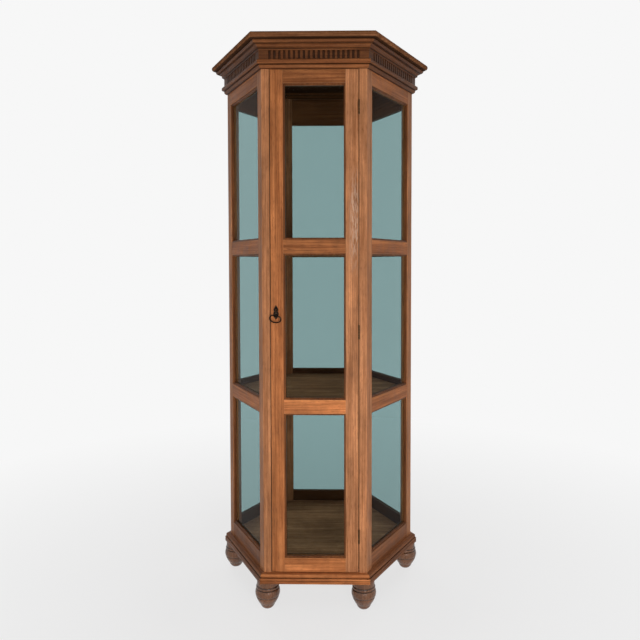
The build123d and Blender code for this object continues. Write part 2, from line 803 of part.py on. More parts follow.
with BuildPart() as lock_bolt:
    bolt_z = (bolt_centre - bolt_height / 2, bolt_centre + bolt_height / 2)
    block(bolt_x, (bolt_y - bolt_thickness / 2, bolt_y + bolt_thickness / 2), bolt_z)
save(lock_bolt.part, "lock_bolt")


# Pull: a pointed plate with the keyhole, a screw eye and a kidney-shaped drop ring
plate_front_y = front_y - plate_thickness
eye_y = plate_front_y - eye_neck - eye_wire_radius - eye_radius
eye_z = keyhole_height - eye_drop
pull_x = key_x - pull_offset
plate_pins = [
    (pull_x, keyhole_height + plate_upper_length - plate_tip_margin),
    (pull_x, keyhole_height - plate_lower_length + plate_tip_margin),
]
plate_plane = Plane(origin=(pull_x, front_y, keyhole_height), x_dir=(1, 0, 0), z_dir=(0, -1, 0))
eye_plane = Plane(origin=(pull_x, plate_front_y, eye_z), x_dir=(1, 0, 0), z_dir=(0, 1, 0))

with BuildPart() as pull_plate:
    with BuildSketch(plate_plane):
        half = plate_width / 2
        shoulder = (half - 1, 2)
        notch = (half - plate_notch, -plate_notch_drop)
        widest = (half, -plate_notch_drop - 9)
        with BuildLine():
            ThreePointArc((0, plate_upper_length), (half * 0.55, plate_upper_length * 0.55), shoulder)
            ThreePointArc(shoulder, (half - 1.3, -2), notch)
            ThreePointArc(notch, (half - 0.8, -plate_notch_drop - 3.5), widest)
            ThreePointArc(widest, (half * 0.7, -plate_lower_length * 0.72), (0, -plate_lower_length))
            mirror(about=Plane.YZ)
        make_face()
        with Locations((pull_offset, 0)):
            Circle(keyhole_radius, mode=Mode.SUBTRACT)
    extrude(amount=plate_thickness)
    rod(eye_plane, (0, 0), eye_shank_radius + screw_gap, plate_thickness, Mode.SUBTRACT)
    for x, z in plate_pins:
        hole = Plane(origin=(x, plate_front_y, z), x_dir=(1, 0, 0), z_dir=(0, 1, 0))
        rod(hole, (0, 0), plate_pin_radius + screw_gap, plate_thickness, Mode.SUBTRACT)
save(pull_plate.part, "pull_plate")

for x, z in plate_pins:
    with BuildPart() as plate_pin:
        hole = Plane(origin=(x, plate_front_y, z), x_dir=(1, 0, 0), z_dir=(0, 1, 0))
        rod(hole, (0, 0), plate_pin_radius, plate_pin_length)
        rod(hole, (0, 0), plate_pin_head_radius, -plate_pin_radius)
        head = plate_pin.faces().sort_by(Axis.Y)[0]
        fillet(head.edges(), plate_pin_radius * 0.6)
    door_screws.append(plate_pin.part)
save(Compound(children=door_screws), "door_screws")

with BuildPart() as pull_eye:
    with Locations(Location((pull_x, eye_y, eye_z), (0, 90, 0))):
        Torus(eye_radius, eye_wire_radius)
    neck_start = Plane(origin=(pull_x, eye_y + eye_radius, eye_z), x_dir=(1, 0, 0), z_dir=(0, 1, 0))
    shank_end = front_y + eye_shank_length
    rod(neck_start, (0, 0), eye_shank_radius, shank_end - eye_y - eye_radius)
    rod(eye_plane, (0, 0), eye_collar_radius, -eye_neck)
save(pull_eye.part, "pull_eye")

with BuildPart() as door_lock_stile:
    add(stile(-1))
    block(lock_x, lock_y, lock_z, Mode.SUBTRACT)
    rod(key_plane, (0, 0), keyhole_radius, door_thickness - lock_thickness, Mode.SUBTRACT)
    eye_hole = Plane(origin=(pull_x, front_y, eye_z), x_dir=(1, 0, 0), z_dir=(0, 1, 0))
    rod(eye_hole, (0, 0), eye_shank_radius + screw_gap, eye_shank_length + screw_gap, Mode.SUBTRACT)
    for x, z in plate_pins:
        hole = Plane(origin=(x, front_y, z), x_dir=(1, 0, 0), z_dir=(0, 1, 0))
        depth = plate_pin_length - plate_thickness + screw_gap
        rod(hole, (0, 0), plate_pin_radius + screw_gap, depth, Mode.SUBTRACT)
save(door_lock_stile.part, "door_lock_stile")

# The ring's centre line: a dent that hangs in the eye, two round ends, and one long arc below
line_width = ring_width - 2 * ring_wire_radius
line_height = ring_height - 2 * ring_wire_radius
end_radius = line_width / 4
dent_angle = degrees(asin(end_radius / (ring_dent_radius + end_radius)))
end_centre_y = ring_dent_radius - (ring_dent_radius + end_radius) * cos(radians(dent_angle))
line_bottom = end_centre_y + end_radius - line_height
drop = end_centre_y - line_bottom
belly_radius = (end_radius**2 + drop**2 - end_radius**2) / (2 * (drop - end_radius))
belly_centre_y = line_bottom + belly_radius
belly_half_angle = degrees(asin(end_radius / (belly_radius - end_radius)))
tilt = radians(ring_tilt)
ring_seat = eye_z - (eye_radius - eye_wire_radius - ring_wire_radius / cos(tilt) - ring_seat_gap)
ring_plane = Plane(
    origin=(pull_x, eye_y, ring_seat),
    x_dir=(cos(tilt), 0, -sin(tilt)),
    z_dir=(0, -1, 0),
)
with BuildPart() as pull_ring:
    with BuildLine(ring_plane) as centre_line:
        CenterArc((0, ring_dent_radius), ring_dent_radius, 270 - dent_angle, 2 * dent_angle)
        end_sweep = 180 + dent_angle - belly_half_angle
        CenterArc((end_radius, end_centre_y), end_radius, 90 + dent_angle, -end_sweep)
        CenterArc((0, belly_centre_y), belly_radius, 270 - belly_half_angle, 2 * belly_half_angle)
        CenterArc((-end_radius, end_centre_y), end_radius, 90 - dent_angle, end_sweep)
    start = Plane(origin=centre_line.wires()[0] @ 0, z_dir=centre_line.wires()[0] % 0)
    with BuildSketch(start):
        Circle(ring_wire_radius)
    sweep(path=centre_line.wires()[0])
save(pull_ring.part, "pull_ring")
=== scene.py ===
import json
import math
import random

import bmesh
import bpy
from bpy.props import FloatProperty, FloatVectorProperty, PointerProperty
from bpy.types import Operator, Panel, PropertyGroup
from mathutils import Matrix, Vector


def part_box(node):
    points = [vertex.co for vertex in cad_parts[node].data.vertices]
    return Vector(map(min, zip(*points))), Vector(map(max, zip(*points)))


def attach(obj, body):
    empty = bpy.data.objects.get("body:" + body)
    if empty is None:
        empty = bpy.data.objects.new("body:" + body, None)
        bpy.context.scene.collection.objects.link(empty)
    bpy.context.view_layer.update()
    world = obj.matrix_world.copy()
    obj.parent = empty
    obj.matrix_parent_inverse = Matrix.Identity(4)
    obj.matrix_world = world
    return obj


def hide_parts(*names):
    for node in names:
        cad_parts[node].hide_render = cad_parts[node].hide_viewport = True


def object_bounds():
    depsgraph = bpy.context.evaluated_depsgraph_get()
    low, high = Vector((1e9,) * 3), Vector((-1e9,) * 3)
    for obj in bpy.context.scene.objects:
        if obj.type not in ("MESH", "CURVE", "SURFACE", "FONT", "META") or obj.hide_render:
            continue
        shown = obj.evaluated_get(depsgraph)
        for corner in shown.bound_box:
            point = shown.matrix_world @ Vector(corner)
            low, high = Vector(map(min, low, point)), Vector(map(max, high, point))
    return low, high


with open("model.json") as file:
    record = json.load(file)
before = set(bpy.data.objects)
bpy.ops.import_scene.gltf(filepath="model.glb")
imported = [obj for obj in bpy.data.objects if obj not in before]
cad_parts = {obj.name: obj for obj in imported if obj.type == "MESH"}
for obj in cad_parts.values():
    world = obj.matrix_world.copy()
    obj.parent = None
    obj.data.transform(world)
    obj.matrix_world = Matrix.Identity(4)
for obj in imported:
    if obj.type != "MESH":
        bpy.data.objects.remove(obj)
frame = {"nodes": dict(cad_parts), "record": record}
cad_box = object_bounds()

bl_info = {
    "name": "Hexagonal display cabinet",
    "version": (1, 0, 0),
    "blender": (4, 5, 0),
    "location": "View3D > Sidebar > Cabinet",
    "description": "Dresses a hexagonal glazed display cabinet and sets its stage",
    "category": "Object",
}

NODES = frame["nodes"]
BODY_OF = {node: body for body, nodes in frame["record"]["behaviour"]["bodies"].items() for node in nodes}

# Each face by the direction that it looks in and each post by where it stands, in degrees from +X
FACES = {"front": 270, "right_front": -30, "right_rear": 30, "rear": 90, "left_rear": 150, "left_front": 210}
POSTS = {"right": 0, "rear_right": 60, "rear_left": 120, "left": 180, "front_left": 240, "front_right": 300}

# A grain that runs up the piece. Others are directions in radians about Z
UPRIGHT = None

# Roughness, strength of the sheen and relief of the pores
WAXED = (0.5, 0.16, 0.35)
POLISHED = (0.28, 0.5, 0.1)
DULL = (0.8, 0.05, 0.1)

# How pale each piece is beside the wood's own colours. The side bottom rails are darker as painted shade, and
# the door's rails are darker towards the top, partly their own tone and partly painted shade
POST_SHADES = {"left": 1.0, "right": 1.05}
RAIL_SHADE, BOTTOM_RAIL_PAINTED_SHADE = 0.9, 0.52
DOOR_SHADES = {
    "door_hinge_stile": 1.06,
    "door_lock_stile": 0.93,
    "door_top_rail": 0.58,
    "door_upper_rail": 0.8,
    "door_lower_rail": 1.45,
    "door_bottom_rail": 1.1,
}
BOARD_SHADE, BEARER_SHADE = 1.0, 0.7

# How pale each piece is beside the tone of the cornice or of the base. The fronts are painted lighter and the
# other faces darker, as painted light and shade
MOULDING_SHADES = {"necking_moulding": 1.1, "frieze": 0.64, "crown_moulding": 0.85}
CORNICE_FRONT_PAINTED_LIGHT, CORNICE_SIDES_PAINTED_SHADE = 1.2, 0.8
TOP_BOARD_SHADE = 1.4
BASE_FRONT_PAINTED_LIGHT, BASE_SIDES_PAINTED_SHADE = 1.25, 0.52
FOOT_SHADE = 0.55

# The feet's pale bands beside the sheen bands
FOOT_PALE_BANDS = 0.8

# How pale the painted shade of the posts' inner faces and of the ceiling is beside the painted inside shade
POST_INSIDE_SHADE, CEILING_SHADE = 2.3, 0.6

# Where the painted shade begins, in metres: on the rails' inner faces behind the face of the case, on the
# posts' in from their corner, the flutes' dirt and painted shade behind the frieze's front, and on the
# ceiling above its underside
RAIL_INSIDE = 0.0145
POST_INSIDE = 0.035
FLUTE_DIRT_AND_SHADE = 0.0016
CEILING_EDGE = 0.002

# Quirks painted dark, with dirt and with the shade that falls in them: the height above a piece's bottom or
# top, and how far the darkening reaches from it.
# The feet's grooves are counted from the floor
NECKING_LOW_QUIRKS = ((0.0, 0.0014), (0.0128, 0.0014))
NECKING_TOP_QUIRKS = ((0.0, 0.0018),)
CROWN_LOW_QUIRKS = ((0.003, 0.0016), (0.0162, 0.0013))
CROWN_TOP_QUIRKS = ((0.0, 0.0022),)
BASE_TOP_QUIRKS = ((-0.0206, 0.0012), (-0.0124, 0.0012))
FOOT_GROOVES = ((0.043, 0.0018), (0.068, 0.0024), (0.0774, 0.0024))

# How far the dirt and painted shade reach from the joint beside the door, and from the edges of the door's
# stiles
DOOR_GAP_DIRT_AND_SHADE = 0.0028
STILE_EDGE_DIRT_AND_SHADE = 0.0016

# The painted highlight on the hinge stile, a pale patch: its middle and its reach, sideways and up, and its
# strength
PAINTED_HIGHLIGHT_PATCH = ((0.133, 1.318), (0.02, 0.19), 0.6)
PAINTED_HIGHLIGHT = (0.62, 0.43, 0.31)
DUST = (0.35, 0.24, 0.16)
DUST_SIZE = 0.011

# The first seed of each group's grain, far enough apart that no two groups share one. A piece's rubbed edges,
# worn and painted with a highlight, have the seed of the piece, so that its grain runs on over them
SEEDS = {
    "posts": 11,
    "rails": 32,
    "door": 71,
    "mouldings": 91,
    "top_board": 121,
    "base": 131,
    "feet": 141,
    "boards": 151,
    "bearers": 161,
    "beads": 171,
}
SEEDS_PER_MOULDING = 7

# How much of a rubbed edge is worn wood with a painted highlight on the arris, on the posts and on rails and
# stiles
POST_WEAR_AND_HIGHLIGHT, FRAME_WEAR_AND_HIGHLIGHT = 0.45, 0.4

# Width, height and place of each light, in metres. The back lights are this one and its mirror image
KEY_LIGHT = ((2.6, 1.5), (0.3, -2.7, 0.35))
WINDOW_LIGHT = ((0.6, 1.4), (0.7, -2.6, 1.0))
BACK_LIGHT = ((1.8, 2.2), (1.7, 3.0, 1.6))
TOP_LIGHT = ((2.0, 1.0), (0, -1.6, 3.6))

# Where the floor's own glow grows to its full strength, from the middle outwards, and from what share
GLOW_START, GLOW_END, GLOW_SHARE = 0.6, 2.3, 0.76
FLOOR_WHITE = (0.86, 0.86, 0.86)


class WoodSettings(PropertyGroup):
    light: FloatVectorProperty(
        name="Light wood",
        description="The pale bands of the grain",
        subtype="COLOR",
        default=(0.54, 0.196, 0.066),
    )
    dark: FloatVectorProperty(
        name="Dark wood",
        description="The dark bands of the grain",
        subtype="COLOR",
        default=(0.3, 0.093, 0.028),
    )
    pore: FloatVectorProperty(
        name="Pores",
        description="The short dark lines in the grain",
        subtype="COLOR",
        default=(0.075, 0.022, 0.009),
    )
    # The rubbed edges' colour, lighter than the wood: worn wood with a painted highlight on the arrises
    wear_and_highlight: FloatVectorProperty(
        name="Worn edge", description="The rubbed edges", subtype="COLOR", default=(0.58, 0.29, 0.13)
    )
    # The sheen bands, this one and the next: paler, greyer wood that paints the sheen of reflected daylight
    # on the posts. The hinge stile, the top board and the feet use them too
    sheen_light: FloatVectorProperty(
        name="Light faded wood",
        description="The pale bands of posts and faded pieces",
        subtype="COLOR",
        default=(0.54, 0.23, 0.1),
    )
    sheen_dark: FloatVectorProperty(
        name="Dark faded wood",
        description="The dark bands of posts and faded pieces",
        subtype="COLOR",
        default=(0.3, 0.112, 0.043),
    )
    # Partly the cornice's own darker wood, partly painted shade over the top of the case
    cornice_tone_and_shade: FloatProperty(
        name="Cornice shade",
        description="How dark the cornice is beside the case",
        default=0.42,
        min=0,
        max=1,
    )
    base_shade: FloatProperty(
        name="Base shade", description="How dark the base is beside the case", default=0.85, min=0, max=1
    )
    board_light: FloatVectorProperty(
        name="Light board",
        description="The pale bands of the boards",
        subtype="COLOR",
        default=(0.6, 0.33, 0.175),
    )
    board_dark: FloatVectorProperty(
        name="Dark board",
        description="The dark bands of the boards",
        subtype="COLOR",
        default=(0.35, 0.18, 0.088),
    )
    # Painted shade on the inner faces, where little light reaches inside the case
    inside_painted_shade: FloatProperty(
        name="Inside shade", description="How dark the unpolished inner faces are", default=0.34, min=0, max=1
    )
    # Dirt and painted shade in grooves, quirks and joints
    dirt_and_painted_shade: FloatProperty(
        name="Dirt shade", description="How dark old wax is in grooves and quirks", default=0.3, min=0, max=1
    )
    # Painted shade: the beads are darkened to paint the shadow beside the panes
    bead_painted_shade: FloatProperty(
        name="Bead shade",
        description="How dark the glazing beads are beside the case",
        default=0.36,
        min=0,
        max=1,
    )
    band_width: FloatProperty(
        name="Band width", description="Width of a grain band", unit="LENGTH", default=0.007, precision=4
    )
    band_length: FloatProperty(
        name="Band length", description="Length of a grain band", unit="LENGTH", default=0.32, precision=3
    )
    pore_width: FloatProperty(
        name="Pore width", description="Width of a pore line", unit="LENGTH", default=0.0011, precision=5
    )
    pore_length: FloatProperty(
        name="Pore length", description="Length of a pore line", unit="LENGTH", default=0.03, precision=3
    )
    edge: FloatProperty(
        name="Rubbed edge", description="Width of the worn edge", unit="LENGTH", default=0.0012, precision=4
    )
    moulding_edge: FloatProperty(
        name="Moulding edge", description="Edge on mouldings", unit="LENGTH", default=0.0006, precision=4
    )


class GlassSettings(PropertyGroup):
    tint: FloatVectorProperty(
        name="Tint",
        description="What one face of a pane lets through",
        subtype="COLOR",
        default=(0.69, 0.77, 0.77),
    )
    ripple: FloatProperty(
        name="Ripple",
        description="Size of the waves in the old glass",
        unit="LENGTH",
        default=0.09,
        precision=3,
    )
    mirror: FloatVectorProperty(
        name="Mirror",
        description="Share mirrored face on and edge on",
        size=2,
        default=(0.001, 0.2),
        min=0,
        max=1,
    )


class MetalSettings(PropertyGroup):
    pull: FloatVectorProperty(
        name="Pull", description="Dark patina of the pull", subtype="COLOR", default=(0.014, 0.01, 0.008)
    )
    # Rubbed spots of the pull, mixed with painted highlights
    pull_wear_and_highlight: FloatVectorProperty(
        name="Worn pull", description="Rubbed spots of the pull", subtype="COLOR", default=(0.1, 0.065, 0.038)
    )
    lock: FloatVectorProperty(
        name="Lock", description="Dull brass of the lock", subtype="COLOR", default=(0.15, 0.098, 0.042)
    )
    iron: FloatVectorProperty(
        name="Iron",
        description="Dark iron of hinges and screws",
        subtype="COLOR",
        default=(0.085, 0.048, 0.022),
    )


class StageSettings(PropertyGroup):
    camera: FloatVectorProperty(
        name="Camera",
        description="Where the camera stands",
        subtype="TRANSLATION",
        default=(0.1365, -2.3219, 1.1752),
    )
    yaw: FloatProperty(
        name="Yaw", description="Turn to the right", subtype="ANGLE", default=math.radians(-1.0)
    )
    pitch: FloatProperty(
        name="Pitch", description="Tilt upwards", subtype="ANGLE", default=math.radians(-2.19)
    )
    roll: FloatProperty(
        name="Roll", description="Lean of the camera", subtype="ANGLE", default=math.radians(-0.04)
    )
    lens: FloatProperty(name="Lens", description="Focal length in millimetres", default=34.07)
    shift: FloatVectorProperty(
        name="Shift", description="Sideways and upward shift", size=2, default=(-0.0389, -0.0514)
    )
    key_power: FloatProperty(
        name="Key light", description="Power of the front light", subtype="POWER", default=60.0
    )
    back_power: FloatProperty(
        name="Back light", description="Power of each rear light", subtype="POWER", default=42.0
    )
    top_power: FloatProperty(
        name="Top light", description="Power of the light above", subtype="POWER", default=5.0
    )
    window_power: FloatProperty(
        name="Window", description="Power of the narrow side light", subtype="POWER", default=9.0
    )
    ambient: FloatProperty(name="Ambient", description="Light from all round", default=0.15, min=0)
    paper: FloatProperty(
        name="Background", description="How pale the background is", default=0.93, min=0, max=1
    )
    floor_radius: FloatProperty(name="Floor", description="Radius of the floor", unit="LENGTH", default=14.0)


class CabinetSettings(PropertyGroup):
    wood: PointerProperty(type=WoodSettings)
    glass: PointerProperty(type=GlassSettings)
    metal: PointerProperty(type=MetalSettings)
    stage: PointerProperty(type=StageSettings)


# Materials


class Tree:
    """The node tree of a new material, built one node at a time."""

    def __init__(self, name):
        self.material = bpy.data.materials.new(name)
        self.material.use_nodes = True
        self.nodes = self.material.node_tree.nodes
        self.links = self.material.node_tree.links
        self.nodes.clear()

    def add(self, kind, inputs=None, **settings):
        made = self.nodes.new(kind)
        for key, value in settings.items():
            setattr(made, key, value)
        for key, value in (inputs or {}).items():
            if isinstance(value, bpy.types.NodeSocket):
                self.links.new(value, made.inputs[key])
            else:
                made.inputs[key].default_value = value
        return made

    def pattern(self, place, size, turn=0.0, shift=(0, 0, 0)):
        """Object coordinates turned about Z and counted in the pattern's own sizes."""
        inputs = {"Vector": place, "Location": shift, "Rotation": (0, 0, turn), "Scale": size}
        return self.add("ShaderNodeMapping", inputs, vector_type="TEXTURE").outputs["Vector"]

    def noise(self, place, detail=2.0, roughness=0.5, distortion=0.0):
        inputs = {
            "Vector": place,
            "Scale": 1.0,
            "Detail": detail,
            "Roughness": roughness,
            "Distortion": distortion,
        }
        return self.add("ShaderNodeTexNoise", inputs).outputs["Fac"]

    def remap(self, value, low, high, to_low=0.0, to_high=1.0):
        inputs = {"Value": value, "From Min": low, "From Max": high, "To Min": to_low, "To Max": to_high}
        return self.add("ShaderNodeMapRange", inputs).outputs["Result"]

    def math(self, operation, first, second):
        return self.add("ShaderNodeMath", {0: first, 1: second}, operation=operation).outputs["Value"]

    def mix(self, factor, first, second, blend="MIX"):
        made = self.add("ShaderNodeMix", {"Factor": factor}, data_type="RGBA", blend_type=blend)
        for key, value in ((6, first), (7, second)):
            if isinstance(value, bpy.types.NodeSocket):
                self.links.new(value, made.inputs[key])
            else:
                made.inputs[key].default_value = (*value, 1)
        return made.outputs[2]

    def bump(self, height, strength, distance):
        inputs = {"Height": height, "Strength": strength, "Distance": distance}
        return self.add("ShaderNodeBump", inputs).outputs["Normal"]

    def finish(self, shader):
        self.add("ShaderNodeOutputMaterial", {"Surface": shader})
        return self.material


def shaded(colour, shade):
    return tuple(channel * shade for channel in colour)


def wood_material(
    name,
    wood,
    shade,
    grain,
    seed,
    shade_zone=None,
    finish=WAXED,
    specks=0.0,
    edge_wear_and_highlight=0.0,
    quirks=(),
    highlight_patch=None,
    bands=None,
):
    """Wood with its grain upright, or along the direction given in radians about Z.

    shade_zone holds a direction, a distance along it and the shade painted on all that lies short of that
    distance.
    quirks hold an axis, a place on it and the reach of the dirt and painted shade. bands hold the light and
    the dark colour.
    """
    roughness, sheen, relief = finish
    light, dark = bands or (wood.light, wood.dark)
    tree = Tree(name)
    place = tree.add("ShaderNodeTexCoord").outputs["Object"]
    luck = random.Random(seed)
    shift = (luck.uniform(-1, 1), luck.uniform(-1, 1), luck.uniform(-1, 1))
    turn = 0.0 if grain is UPRIGHT else grain

    def along(width, length):
        size = (width, width, length) if grain is UPRIGHT else (length, width, width)
        return tree.pattern(place, size, turn, shift)

    stripes = tree.noise(along(wood.band_width, wood.band_length), detail=6.0, roughness=0.62, distortion=0.6)
    broad = tree.noise(along(wood.band_width * 7, wood.band_length * 0.9), detail=3.0)
    pores = tree.noise(along(wood.pore_width, wood.pore_length), detail=3.0, roughness=0.7)
    flecks = tree.noise(along(wood.pore_width * 2.4, wood.pore_length * 0.8), detail=2.0, roughness=0.6)
    streaks = tree.noise(along(wood.band_width * 0.5, wood.band_length * 1.1), detail=3.0, roughness=0.55)
    mottle = tree.noise(tree.pattern(place, (0.03, 0.03, 0.045), 0, shift), detail=4.0, roughness=0.6)
    tone = tree.mix(tree.remap(stripes, 0.36, 0.64), shaded(dark, shade), shaded(light, shade))
    tone = tree.mix(tree.remap(streaks, 0.55, 0.72, 0, 0.5), tone, shaded(dark, shade * 0.6))
    tone = tree.mix(tree.remap(flecks, 0.6, 0.72, 0, 0.5), tone, shaded(wood.pore, shade * 1.6))
    tone = tree.mix(tree.remap(pores, 0.56, 0.68, 0, 0.6), tone, shaded(wood.pore, shade))
    tone = tree.mix(1.0, tone, tree.remap(broad, 0.32, 0.68, 0.72, 1.22), "MULTIPLY")
    tone = tree.mix(1.0, tone, tree.remap(mottle, 0.3, 0.7, 0.84, 1.12), "MULTIPLY")
    # Rubbed edges: worn wood, and a painted highlight where light would catch the arris
    if edge_wear_and_highlight:
        tone = tree.mix(edge_wear_and_highlight, tone, shaded(wood.wear_and_highlight, shade))
    if specks:
        dust = tree.noise(tree.pattern(place, (DUST_SIZE,) * 3, 0, shift), detail=3.0, roughness=0.7)
        tone = tree.mix(tree.remap(dust, 0.66, 0.74, 0, specks), tone, DUST)
    parts = tree.add("ShaderNodeSeparateXYZ", {0: place}).outputs
    # A pale patch painted as a highlight
    if highlight_patch:
        middle, spread, fade = highlight_patch
        for axis, centre, reach in zip("XZ", middle, spread):
            away = tree.math("ABSOLUTE", tree.math("SUBTRACT", parts[axis], centre), 0.0)
            fade = tree.math("MULTIPLY", fade, tree.remap(away, reach * 0.35, reach, 1.0, 0.0))
        bare = tree.math("MULTIPLY", fade, tree.remap(flecks, 0.42, 0.6))
        tone = tree.mix(bare, tone, PAINTED_HIGHLIGHT)
    # Dark lines at the quirks: dirt and painted shade
    for axis, level, reach in quirks:
        away = tree.math("ABSOLUTE", tree.math("SUBTRACT", parts[axis], level), 0.0)
        tone = tree.mix(1.0, tone, tree.remap(away, reach * 0.4, reach, wood.dirt_and_painted_shade, 1.0), "MULTIPLY")
    # Painted shade on all that lies short of a distance: the inner faces and the ceiling. In the flutes it is
    # dirt and painted shade
    if shade_zone is not None:
        direction, level, dim = shade_zone
        along_it = tree.add("ShaderNodeVectorMath", {0: place, 1: direction}, operation="DOT_PRODUCT")
        inner = tree.remap(along_it.outputs["Value"], level - 0.001, level + 0.001, dim, 1.0)
        tone = tree.mix(1.0, tone, inner, "MULTIPLY")
    inputs = {
        "Base Color": tone,
        "Roughness": tree.remap(mottle, 0.3, 0.7, roughness - 0.1, roughness + 0.08),
        "Normal": tree.bump(pores, strength=relief, distance=0.0004),
    }
    surface = tree.add("ShaderNodeBsdfPrincipled", inputs)
    surface.inputs["Specular IOR Level"].default_value = sheen
    return tree.finish(surface.outputs["BSDF"])


def glass_material(glass):
    tree = Tree("old_window_glass")
    place = tree.add("ShaderNodeTexCoord").outputs["Object"]
    ripple = tree.noise(tree.pattern(place, (glass.ripple, glass.ripple, glass.ripple * 2.2)), detail=1.0)
    waves = tree.bump(ripple, strength=0.1, distance=0.004)
    tinted = tree.add("ShaderNodeBsdfTransparent", {"Color": (*glass.tint, 1)}).outputs["BSDF"]
    bare = tree.add("ShaderNodeBsdfTransparent", {"Color": (1, 1, 1, 1)}).outputs["BSDF"]
    path = tree.add("ShaderNodeLightPath").outputs
    lighting = tree.math("MAXIMUM", path["Is Shadow Ray"], path["Is Diffuse Ray"])
    shine = tree.add("ShaderNodeBsdfGlossy", {"Color": (1, 1, 1, 1), "Roughness": 0.0, "Normal": waves})
    # The mirrored share grows with the fifth power of the slant, and only the nearest face mirrors
    slant = tree.add("ShaderNodeLayerWeight", {"Blend": 0.5, "Normal": waves}).outputs["Facing"]
    mirrored = tree.remap(tree.math("POWER", slant, 5.0), 0, 1, *glass.mirror)
    nearest = tree.math("LESS_THAN", path["Transparent Depth"], 0.5)
    mirrored = tree.math("MULTIPLY", mirrored, nearest)
    pane = tree.add("ShaderNodeMixShader", {0: mirrored, 1: tinted, 2: shine.outputs["BSDF"]})
    mixed = tree.add("ShaderNodeMixShader", {0: lighting, 1: pane.outputs["Shader"], 2: bare})
    return tree.finish(mixed.outputs["Shader"])


def metal_material(name, colour, wear_and_highlight, roughness, grain_size):
    tree = Tree(name)
    place = tree.add("ShaderNodeTexCoord").outputs["Object"]
    cast = tree.noise(tree.pattern(place, (grain_size,) * 3), detail=5.0, roughness=0.65)
    rubs = tree.noise(tree.pattern(place, (grain_size * 5,) * 3), detail=3.0)
    # Rubbed spots of worn metal mixed in by noise. On the pull they also paint highlights
    tone = tree.mix(tree.remap(rubs, 0.5, 0.72), colour, wear_and_highlight)
    inputs = {
        "Base Color": tone,
        "Roughness": tree.remap(cast, 0.3, 0.7, roughness - 0.12, roughness + 0.12),
        "Normal": tree.bump(cast, strength=0.4, distance=0.0003),
    }
    surface = tree.add("ShaderNodeBsdfPrincipled", inputs)
    surface.inputs["Metallic"].default_value = 1.0
    return tree.finish(surface.outputs["BSDF"])


# Pieces


def paint(node, material):
    """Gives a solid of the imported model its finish."""
    mesh = NODES[node].data
    mesh.materials.clear()
    mesh.materials.append(material)


def softened(node, edge, materials, sector=None, edge_material=None, smooth=35.0):
    """Puts a copy in a solid's place, with its arrises rubbed round where an edge is given."""
    shape = bmesh.new()
    shape.from_mesh(NODES[node].data)
    bmesh.ops.remove_doubles(shape, verts=shape.verts, dist=0.00002)
    bmesh.ops.dissolve_limit(
        shape,
        angle_limit=math.radians(0.5),
        use_dissolve_boundaries=False,
        verts=shape.verts,
        edges=shape.edges,
    )
    mesh = bpy.data.meshes.new(node + "_finished")
    shape.to_mesh(mesh)
    shape.free()
    for material in materials:
        mesh.materials.append(material)
    if sector:
        for polygon in mesh.polygons:
            polygon.material_index = sector(polygon.center)
    mesh.shade_smooth()
    mesh.set_sharp_from_angle(angle=math.radians(smooth))
    piece = bpy.data.objects.new(node + "_finished", mesh)
    bpy.context.scene.collection.objects.link(piece)
    if edge:
        rounding = piece.modifiers.new("Rubbed edges", "BEVEL")
        rounding.width = edge
        rounding.segments = 2
        rounding.limit_method = "ANGLE"
        rounding.angle_limit = math.radians(50)
        rounding.harden_normals = True
        if edge_material:
            mesh.materials.append(edge_material)
            rounding.material = len(mesh.materials) - 1
    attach(piece, BODY_OF[node])
    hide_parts(node)


def facing(angle):
    return (math.cos(math.radians(angle)), math.sin(math.radians(angle)), 0)


def face_sector(point):
    """Which of the six faces a point lies behind, counted from the front one."""
    names = list(FACES)
    return max(range(6), key=lambda index: Vector(facing(FACES[names[index]])).dot(point))


def grain_along(angle):
    """The grain's direction on a rail of the face that looks in that direction."""
    return math.radians(angle + 90)


def case_face():
    """How far the faces of the case are from its middle."""
    return -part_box("head_rail")[0].y


def rail_inside(angle, wood):
    """Where the inner faces of a side's rails and stiles begin, and their painted shade, in the form of
    shade_zone.
    """
    return facing(angle), case_face() - RAIL_INSIDE, wood.inside_painted_shade


def level_lines(start, quirks):
    """Lines of dirt and painted shade at heights counted from one level of a piece."""
    return [("Z", start + height, reach) for height, reach in quirks]


class CABINET_OT_posts(Operator):
    """Finishes the six posts"""

    bl_idname = "cabinet.posts"
    bl_label = "Posts"

    def execute(self, context):
        wood = context.scene.cabinet.wood
        # The posts get the sheen bands, paler wood that paints reflected sheen
        tones = (wood.sheen_light, wood.sheen_dark)
        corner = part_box("post_right")[1].x
        for index, (name, angle) in enumerate(POSTS.items()):
            # The posts' inner faces get painted shade
            inside = (facing(angle), corner - POST_INSIDE, wood.inside_painted_shade * POST_INSIDE_SHADE)
            shade = POST_SHADES["right" if "right" in name else "left"]
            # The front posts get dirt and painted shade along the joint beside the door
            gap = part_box("door_hinge_stile")[1].x * (-1 if name == "front_left" else 1)
            lines = [("X", gap, DOOR_GAP_DIRT_AND_SHADE)] if name.startswith("front") else []
            common = (wood, shade, UPRIGHT, SEEDS["posts"] + index, inside)
            style = {"quirks": lines, "bands": tones}
            finish = wood_material(f"post_wood_{name}", *common, **style)
            edge_wear_and_highlight = wood_material(f"post_edge_{name}", *common, edge_wear_and_highlight=POST_WEAR_AND_HIGHLIGHT, **style)
            softened(f"post_{name}", wood.edge, [finish], edge_material=edge_wear_and_highlight)
        return {"FINISHED"}


